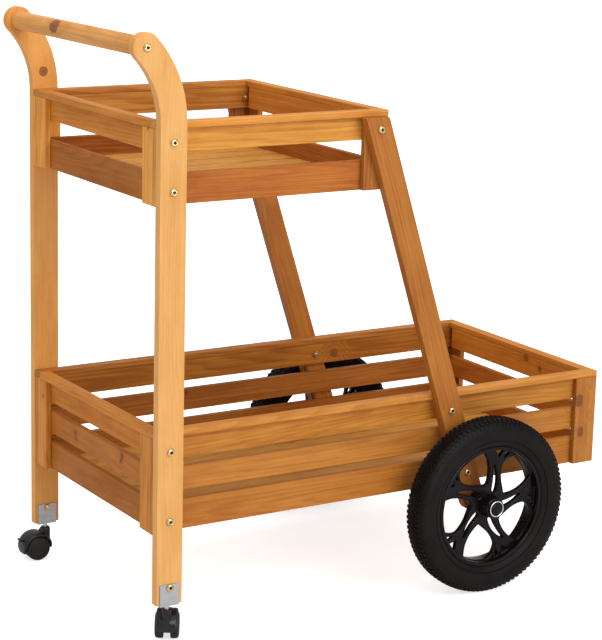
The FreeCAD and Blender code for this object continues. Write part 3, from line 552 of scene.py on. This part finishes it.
def arc(start, end, radius, turn, steps):
    """Points of an arc from start up to, but without, end; turn is +1 for left."""
    start, end = Vector(start), Vector(end)
    chord = end - start
    rise = math.sqrt(max(radius ** 2 - (chord.length / 2) ** 2, 0))
    across = Vector((-chord.y, chord.x)).normalized()
    centre = (start + end) / 2 + across * rise * turn
    first = math.atan2(*(start - centre).yx)
    span = (math.atan2(*(end - centre).yx) - first) * turn % (2 * math.pi)
    return [polar(radius, math.degrees(first + turn * span * i / steps), centre)
            for i in range(steps)]


def outline(corners, rounds, steps=9):
    """A closed outline whose edges named in rounds are arcs of (radius, turn)."""
    points = []
    for index, corner in enumerate(corners):
        following = corners[(index + 1) % len(corners)]
        if index in rounds:
            points += arc(corner, following, *rounds[index], steps)
        else:
            points.append(corner)
    return points


def smooth_loop(points, gap=1.3, rounds=9):
    """The outline with even gaps between its points and its corners rounded."""
    ends = points[1:] + points[:1]
    lengths = [math.dist(a, b) for a, b in zip(points, ends)]
    count = round(sum(lengths) / gap)
    step = sum(lengths) / count
    even, index, run = [], 0, 0.0
    for n in range(count):
        while run + lengths[index] < n * step:
            run += lengths[index]
            index += 1
        share = (n * step - run) / lengths[index]
        even.append(Vector(points[index]).lerp(Vector(ends[index]), share))
    for _ in range(rounds):
        even = [(even[i - 1] + even[i] * 2 + even[(i + 1) % count]) / 4
                for i in range(count)]
    return [tuple(p) for p in even]


def turned_about(points, angle):
    c, s = math.cos(math.radians(angle)), math.sin(math.radians(angle))
    return [(x * c - z * s, x * s + z * c) for x, z in points]


def middle_of(node):
    low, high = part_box(node)
    return (low + high) / 2


# Wheels, in millimetres.  The web's windows follow the source, but end 2 mm further out.
SPOKES = 5
HUB, WEB, BARREL = 18.5, 96.5, 96.8  # radii: hub, the spokes' ends, the windows' ends
REACH = WEB - HUB
RIM_EDGE = 100.9
WEB_FRONT, WEB_BACK, WEB_ROUND = -8, 1, 1.8
BEAD_Y, BEAD_RADIUS, BEAD_AWAY = -7.7, 1.0, 2.2


def at(share, angle):
    """The point at a share of the way from the hub to the spokes' ends."""
    return polar(HUB + REACH * share, angle)


def web_windows():
    """The windows of one spoke: the wide one, the slit and both forks."""
    wide = outline(
        [at(0.22, -47), at(0.81, -51.5), polar(BARREL, -47), polar(BARREL, -16.5),
         at(0.72, -4), at(0.30, -26)],
        {0: (REACH * 0.82, 1), 2: (BARREL, 1), 3: (REACH * 0.45, 1),
         4: (REACH * 0.8, 1)})
    slit = outline([at(0.05, -90), at(0.70, -60.5), at(0.08, -68)],
                   {0: (REACH * 0.74, 1), 1: (REACH * 2, -1)})
    forks = [outline([inner, polar(BARREL, low), polar(BARREL, high)],
                     {1: (BARREL, 1)}, 4)
             for inner, low, high in ((at(0.83, -67.5), -71.6, -61),
                                      (at(0.82, -75), -80.5, -74.6))]
    return ([smooth_loop(loop) for loop in (wide, slit)]
            + [smooth_loop(loop, 0.9, 5) for loop in forks])


# Outlines of radius and y, turned about the axle; the outer side is at negative y.
RIM_RING = [
    (98.5, -16.6), (98.9, -17.6), (99.8, -18), (103.6, -18), (104.8, -17.5),
    (105.2, -16.6), (105.0, -15.5), (100.7, -15.3), (100.7, 15.3), (105.0, 15.5),
    (105.2, 16.6), (104.8, 17.5), (103.6, 18), (99.8, 18), (98.9, 17.6), (98.5, 16.6),
]
HUB_SLEEVE = [
    (6.1, 24), (16.8, 24), (18.1, 23.4), (18.5, 22), (18.5, 4), (20.5, 1),
    (20.5, -6.5), (18.9, -10), (18.3, -24.5), (17.9, -27.2), (16.8, -28.6),
    (15.2, -29), (13, -29), (13, -20), (6.1, -20),
]
CAP_SIDE = [
    (TINY, -29), (15, -29), (15, -31.6), (14.7, -32.3), (13.8, -32.7), (11.4, -32.7),
    (10.9, -32.4), (10.4, -32.4), (9.6, -33.1), (6.0, -33.4), (TINY, -33.5),
]
CAP_RING = [
    (12.0, -32.5), (14.0, -32.5), (14.0, -32.9), (13.6, -33.2), (12.4, -33.2),
    (12.0, -32.9),
]
TYRE_SIDE = [  # radius and half width, from the rim's edge to the crown
    (101.2, 14.6), (105.4, 14.8), (106.0, 17.6), (107.6, 19.0), (110.5, 20.2),
    (114.4, 21.3), (115.2, 20.4), (116.6, 20.4), (117.4, 21.8), (122.0, 22.8),
    (130.0, 23.2), (137.0, 22.8), (142.0, 21.4), (146.0, 19.0), (148.7, 15.4),
    (150.0, 10.0), (150.4, 4.0),
]
TYRE_INSIDE = [(101.2, 9.5), (143, 9.5), (143, -9.5), (101.2, -9.5)]
TYRE_MIDDLE = 125  # radius from which the tread's blocks point outwards
TREAD_FROM, TREAD_TOP = 136, 152.3  # radii: where the tread starts, top of its blocks

KNOBS = 100  # blocks in each row
KNOB_ROOT, KNOB_TAPER = -0.6, 0.74
TREAD_ROWS = [  # distance from the middle, shift, length, width, height and skew
    (-9.4, 0.0, 5.6, 4.6, 1.9, -0.8), (-3.2, 0.5, 5.6, 4.6, 1.9, -0.8),
    (3.2, 0.0, 5.6, 4.6, 1.9, 0.8), (9.4, 0.5, 5.6, 4.6, 1.9, 0.8),
    (-15.6, 0.0, 5.4, 5.0, 2.1, 0.0), (15.6, 0.5, 5.4, 5.0, 2.1, 0.0),
    (-20.4, 0.5, 4.6, 2.6, 1.2, 0.0), (20.4, 0.0, 4.6, 2.6, 1.2, 0.0),
]


def tread_radius(across):
    """The tread's radius at a distance from its middle."""
    side = sorted((half, radius) for radius, half in TYRE_SIDE if radius > TREAD_FROM)
    across = abs(across)
    for (near, high), (far, low) in zip(side, side[1:]):
        if near <= across <= far:
            share = (across - near) / (far - near)
            return high + (low - high) * share
    return side[0][1] if across < side[0][0] else side[-1][1]


def knob(shape, angle, across, length, width, height, skew):
    """One tapered block, upright on the tread; length runs round the tyre."""
    points = []
    for lift, taper in ((KNOB_ROOT, 1.0), (height, KNOB_TAPER)):
        for u, v in ((-1, -1), (1, -1), (1, 1), (-1, 1)):
            y = across + v * width / 2 * taper
            radius = tread_radius(y)
            out = Vector((radius - TYRE_MIDDLE, y)).normalized() * lift
            radius = min(radius + out.x, TREAD_TOP)
            along = u * length / 2 * taper + skew * v
            x, z = polar(radius, angle + math.degrees(along / radius))
            points.append((x, y + out.y, z))
    shape.take(points, [(4, 5, 6, 7), (0, 1, 5, 4), (1, 2, 6, 5), (2, 3, 7, 6),
                        (3, 0, 4, 7)])


def make_wheel(side_name, side):
    """The rim with its web and hub, the tyre and the hub cap of one wheel."""
    place = Matrix.Translation(middle_of("tyre_" + side_name))
    if side > 0:
        place = place @ Matrix.Rotation(math.pi, 4, "Z")
    body = "wheel_" + side_name

    web = Shape(place)
    rim = outline([polar(RIM_EDGE, a) for a in (0, 120, 240)],
                  {i: (RIM_EDGE, 1) for i in range(3)}, 32)
    spokes = [[turned_about(loop, 360 / SPOKES * n) for loop in web_windows()]
              for n in range(SPOKES)]
    web.plate([rim, *(loop for windows in spokes for loop in windows)],
              WEB_FRONT, WEB_BACK, WEB_ROUND)
    for wide, slit, *_ in spokes:
        for loop in (wide, slit):
            web.bead(loop, BEAD_Y, BEAD_RADIUS, BEAD_AWAY)
    web.turn(RIM_RING, 144)
    web.turn(HUB_SLEEVE, 64)
    web.piece("moulded_rim_" + side_name, rim_plastic, body, "black_nylon",
              "rim_" + side_name)

    tyre = Shape(place)
    tyre.turn([(r, -y) for r, y in TYRE_SIDE] + TYRE_SIDE[::-1] + TYRE_INSIDE, 180)
    for n in range(KNOBS):
        for across, shift, *block in TREAD_ROWS:
            knob(tyre, (n + shift) * 360 / KNOBS, across, *block)
    tyre.piece("knobbly_tyre_" + side_name, tyre_rubber, body, "tyre_rubber",
               "tyre_" + side_name, sharp=30)

    cap = Shape(place)
    cap.turn(CAP_SIDE, 64)
    cap.piece("hub_cap_" + side_name + "_turned", cap_plastic, body,
              "hub_cap_plastic", "hub_cap_" + side_name)
    ring = Shape(place)
    ring.turn(CAP_RING, 64)
    ring.piece("hub_ring_" + side_name, ring_silver, body, "hub_cap_plastic")


def islands(node):
    """Lowest and highest corner of each separate solid of a CAD node."""
    bm = bmesh.new()
    bm.from_mesh(NODES[node].data)
    bmesh.ops.remove_doubles(bm, verts=bm.verts, dist=WELD_GAP)
    boxes = []
    seen = set()
    for start in bm.verts:
        if start in seen:
            continue
        waiting, points = [start], []
        seen.add(start)
        while waiting:
            here = waiting.pop()
            points.append(here.co.copy())
            for edge in here.link_edges:
                other = edge.other_vert(here)
                if other not in seen:
                    seen.add(other)
                    waiting.append(other)
        boxes.append((Vector([min(p[i] for p in points) for i in range(3)]),
                      Vector([max(p[i] for p in points) for i in range(3)])))
    bm.free()
    return boxes


# Bolts, in millimetres: the head as radius and height, the rest as radius and depth
# below the head's top.
HEAD_HEIGHT = 4.0
HEAD_SIDE = [(6.15, 0.0), (6.25, 0.6), (6.2, 1.6), (5.9, 2.5), (5.3, 3.3), (4.5, 3.8),
             (3.8, 4.0), (3.4, 3.9)]
RECESS = [(3.3, 2.8), (TINY, 2.8)]
COLLAR_OUTER, HEXAGON_HALF = 3.4, 2.7  # the socket's wall: radius, half across flats
COLLAR_TOP, COLLAR_BASE = 0.4, 2.7
# painted shade: the outline of a dark disc set in each socket, as radius and depth below
# the head's top
SOCKET_SHADE_SIDE = [(TINY, 2.4), (3.0, 2.4), (3.0, 0.7), (2.3, 0.7), (1.6, 1.6), (TINY, 1.8)]
SHANK, SHANK_TIP, TIP_LENGTH = 3.0, 2.5, 0.5


def make_bolts():
    """Button-head bolts with a hexagon socket, on the places of the CAD bolts."""
    # sockets collects the dark discs of painted shade that sit in the bolts' sockets
    bolts, sockets = Shape(Matrix.Identity(4)), Shape(Matrix.Identity(4))
    angles = range(0, 360, 10)
    for low, high in islands("frame_bolts"):
        low, high = low / MM, high / MM
        side = 1 if high.y > 0 else -1
        outer = high.y if side > 0 else low.y
        inner = low.y if side > 0 else high.y
        base = outer - side * HEAD_HEIGHT
        centre = ((low.x + high.x) / 2, (low.z + high.z) / 2)
        bolts.turn([(r, base + side * h) for r, h in HEAD_SIDE]
                   + [(r, outer - side * depth) for r, depth in RECESS]
                   + [(TINY, base)], 32, centre)
        walls = [polar(COLLAR_OUTER, a, centre) for a in angles]
        hexagon = [polar(HEXAGON_HALF / math.cos(math.radians((a + 30) % 60 - 30)),
                         a, centre) for a in angles]
        rings = [[(x, outer - side * depth, z) for x, z in loop] for loop, depth in
                 ((walls, COLLAR_TOP), (walls, COLLAR_BASE),
                  (hexagon, COLLAR_BASE), (hexagon, COLLAR_TOP))]
        count = len(walls)
        faces = [face for k in range(4)
                 for face in band(k * count, (k + 1) % 4 * count, count)]
        bolts.take([p for ring in rings for p in ring], faces)
        bolts.turn([(TINY, base), (SHANK, base), (SHANK, inner + side * TIP_LENGTH),
                    (SHANK_TIP, inner), (TINY, inner)], 24, centre)
        # painted shade: a dark disc in the socket, where shade falls in the hole
        sockets.turn([(r, outer - side * depth) for r, depth in SOCKET_SHADE_SIDE], 6, centre)
    bolts.piece("button_bolts", brass, "cart", "brassed_steel", "frame_bolts", sharp=40)
    sockets.piece("bolt_socket_shades", socket_shade_metal, "cart", "brassed_steel")


# Casters, in millimetres and degrees.  The wheels' centre trails behind the swivel line.
HEADINGS = {"right": 238, "left": 0}
TRAIL, LIFT = 19.0, 21.5
HOOD, HOOD_HALF = 27.0, 17.0  # outer radius, half width
HOOD_WALL, HOOD_ROUND = 4.2, 3.4
HOOD_FROM, HOOD_TO, HOOD_FADE, HOOD_STEPS = -8, 200, 26, 48  # its ends fade out
HOOD_WEB, WEB_FOOT = HOOD - 1, LIFT * 0.45  # radii of the web under the hood
MIDDLE_HALF = 5.5  # half thickness of the web, the neck and the lever
NECK_TOP = 55.5
NECK = [(-14, 44), (-2, 24), (7.5, 24), (7.5, NECK_TOP - 2), (-7.5, NECK_TOP - 2)]
NECK_RING = [(4.1, 41), (7.5, 41), (7.5, NECK_TOP - 1.2), (7.2, NECK_TOP - 0.4),
             (6.5, NECK_TOP), (4.1, NECK_TOP)]
NECK_STEPS = 40
LEVER_PIN = (22.5, 145)  # radius and angle about the wheels' centre
LEVER = [(2, -2), (2.6, 2.4), (-6, 3.6), (-11, 5.4), (-13.5, 4.6), (-14, 2.4),
         (-12, 1.0), (-6, 0.6), (-3, -2)]
DISC_IN, DISC_OUT = 6.0, 19.5  # a wheel's faces, from the middle plane
DISC_SIDE = [
    (2.6, DISC_IN), (20.4, DISC_IN), (21.2, DISC_IN + 0.4), (21.5, DISC_IN + 1.2),
    (21.5, DISC_OUT - 5.2), (21.2, DISC_OUT - 3.6), (20.3, DISC_OUT - 2.0),
    (19.0, DISC_OUT - 0.9), (17.6, DISC_OUT - 0.4), (17.0, DISC_OUT - 0.7),
    (16.4, DISC_OUT - 0.5), (9.0, DISC_OUT - 0.1), (TINY, DISC_OUT),
    (TINY, DISC_OUT - 3), (2.6, DISC_OUT - 3),
]


def hood_ring(angle, centre):
    """The hood's section at an angle; it is thinner and narrower near both ends."""
    ends = math.sqrt(max(min(angle - HOOD_FROM, HOOD_TO - angle) / HOOD_FADE, 0))
    share = min(1.0, 0.25 + 0.75 * ends)
    half = HOOD_HALF * min(1.0, 0.6 + 0.4 * ends)
    section = [(HOOD - HOOD_WALL * share, -half), (HOOD - HOOD_ROUND * share, -half)]
    section += [(HOOD - HOOD_ROUND * share * (1 - math.sin(math.radians(a))),
                 -half + HOOD_ROUND * (1 - math.cos(math.radians(a))))
                for a in (30, 60, 90)]
    section += [(r, -y) for r, y in section[::-1]]
    ring = []
    for radius, y in section:
        x, z = polar(radius, angle, centre)
        ring.append((x, y, z))
    return ring


def make_caster(side_name):
    """The hood with its neck, the brake lever and both wheels of one caster."""
    stem = middle_of("caster_stem_" + side_name)
    place = (Matrix.Translation((stem.x, stem.y, 0))
             @ Matrix.Rotation(math.radians(HEADINGS[side_name]), 4, "Z"))
    body = "caster_" + side_name
    centre = (-TRAIL, LIFT)

    hood = Shape(place)
    hood.sweep([hood_ring(HOOD_FROM + (HOOD_TO - HOOD_FROM) * n / HOOD_STEPS, centre)
                for n in range(HOOD_STEPS + 1)])
    web = outline([polar(HOOD_WEB, HOOD_TO, centre), polar(WEB_FOOT, 230, centre),
                   polar(WEB_FOOT, 310, centre), polar(HOOD_WEB, HOOD_FROM, centre),
                   polar(HOOD_WEB, 90, centre)],
                  {3: (HOOD_WEB, 1), 4: (HOOD_WEB, 1)}, 14)
    hood.plate([web], -MIDDLE_HALF, MIDDLE_HALF, 0.8)
    hood.plate([NECK], -MIDDLE_HALF, MIDDLE_HALF, 1.2)
    hood.sweep([[(r * math.cos(a), r * math.sin(a), z) for r, z in NECK_RING]
                for a in (2 * math.pi * n / NECK_STEPS for n in range(NECK_STEPS + 1))])
    hood.piece("caster_shell_" + side_name, caster_plastic, body, "caster_nylon",
               "caster_hood_" + side_name, sharp=42)

    pin_x, pin_z = polar(*LEVER_PIN, centre)
    pedal = Shape(place)
    pedal.plate([smooth_loop([(pin_x + x, pin_z + z) for x, z in LEVER], 0.8, 3)],
                -MIDDLE_HALF, MIDDLE_HALF, 1.1)
    pedal.piece("brake_lever_" + side_name, caster_plastic, "brake_" + side_name,
                "caster_nylon", "brake_pedal_" + side_name)

    for wheel, sign in (("outer", -1), ("inner", 1)):
        disc = Shape(place)
        disc.turn([(r, sign * y) for r, y in DISC_SIDE], 72, centre)
        disc.piece(f"caster_disc_{wheel}_{side_name}", disc_plastic,
                   f"caster_{side_name}_wheel_{wheel}", "caster_nylon",
                   f"caster_wheel_{wheel}_{side_name}")


for side_name, side in SIDES.items():
    make_wheel(side_name, side)
    make_caster(side_name)
make_bolts()


# --- Stage -----------------------------------------------------------------------------

# The camera fitted to the photograph: metres, degrees and millimetres.
CAMERA_PLACE = (-1.8754, -2.9856, 1.2594)
YAW, PITCH, ROLL = 31.9015, 13.1673, 1.452
LENS, SENSOR = 118.28, 36
WHITE = (1, 1, 1, 1)
ROOM_LIGHT = 0.62
FLOOR_REACH = 14
FLOOR_GREY = 0.86
GLOW_FROM, GLOW_TO = 1.0, 4.0  # the floor's glow grows between these distances
GLOW_NEAR, GLOW_FAR = 0.68, 0.95


def camera_like_photo():
    yaw, pitch, roll = (math.radians(a) for a in (YAW, PITCH, ROLL))
    right = Vector((math.cos(yaw), -math.sin(yaw), 0))
    forward = Vector((math.sin(yaw) * math.cos(pitch), math.cos(yaw) * math.cos(pitch),
                      -math.sin(pitch)))
    up = right.cross(forward)
    rolled_right = right * math.cos(roll) + up * math.sin(roll)
    rolled_up = up * math.cos(roll) - right * math.sin(roll)
    data = bpy.data.cameras.new("photo_camera")
    data.lens = LENS
    data.sensor_width = SENSOR
    data.clip_end = 100
    camera = add_object("photo_camera", data)
    axes = Matrix((rolled_right, rolled_up, -forward)).transposed()
    camera.matrix_world = Matrix.Translation(CAMERA_PLACE) @ axes.to_4x4()
    bpy.context.scene.camera = camera


def area_lamp(name, place, aim, size, energy, glint=False):
    """A square lamp; a glint is seen only as its reflection."""
    data = bpy.data.lights.new(name, "AREA")
    data.shape = "SQUARE"
    data.size = size
    data.energy = energy
    lamp = add_object(name, data)
    lamp.location = place
    lamp.rotation_mode = "QUATERNION"
    lamp.rotation_quaternion = (Vector(aim) - Vector(place)).to_track_quat("-Z", "Y")
    lamp.visible_diffuse = not glint


def pale_world():
    """Soft light from all round, in front of a plain white backdrop."""
    world = bpy.data.worlds.new("studio")
    bpy.context.scene.world = world
    world.use_nodes = True
    graph = Graph(world.node_tree)
    world.node_tree.nodes.clear()
    path = graph.add("ShaderNodeLightPath").outputs
    seen = graph.math("MAXIMUM", path["Is Camera Ray"], path["Is Transmission Ray"])
    room, backdrop = (
        graph.add("ShaderNodeBackground", {"Color": WHITE, "Strength": strength})
        for strength in (ROOM_LIGHT, 1.0))
    both = graph.add("ShaderNodeMixShader", {0: seen, 1: room.outputs[0],
                                             2: backdrop.outputs[0]})
    graph.add("ShaderNodeOutputWorld", {"Surface": both.outputs[0]})


def pale_floor():
    """A white floor: it keeps the shadow near the cart and is plain white far off."""
    mesh = bpy.data.meshes.new("floor")
    mesh.from_pydata([(u * FLOOR_REACH, v * FLOOR_REACH, 0)
                      for u, v in ((-1, -1), (1, -1), (1, 1), (-1, 1))],
                     [], [(0, 1, 2, 3)])
    floor = add_object("floor", mesh)
    material, graph, shader = new_material("white_floor", (FLOOR_GREY,) * 3,
                                           Roughness=0.9, Emission_Color=WHITE)
    away = graph.vector("LENGTH", object_place(graph))
    path = graph.add("ShaderNodeLightPath").outputs
    glow = graph.math("MULTIPLY", path["Is Camera Ray"],
                      graph.spread(away, GLOW_FROM, GLOW_TO, GLOW_NEAR, GLOW_FAR))
    graph.join(glow, shader.inputs["Emission Strength"])
    mesh.materials.append(material)


camera_like_photo()
pale_world()
pale_floor()
area_lamp("key", (0.9, -4.4, 3.0), (0, 0, 0.4), 3.0, 118)
area_lamp("top", (-0.8, -0.4, 4.2), (0, 0, 0.4), 3.2, 75)
area_lamp("glint_high", (-1.6, -3.6, 2.6), (0, 0, 0.4), 0.6, 40, True)
area_lamp("glint_low", (0.9, -4.0, 0.4), (0.1, -0.3, 0.2), 0.5, 24, True)
bpy.context.scene.view_settings.view_transform = "Standard"
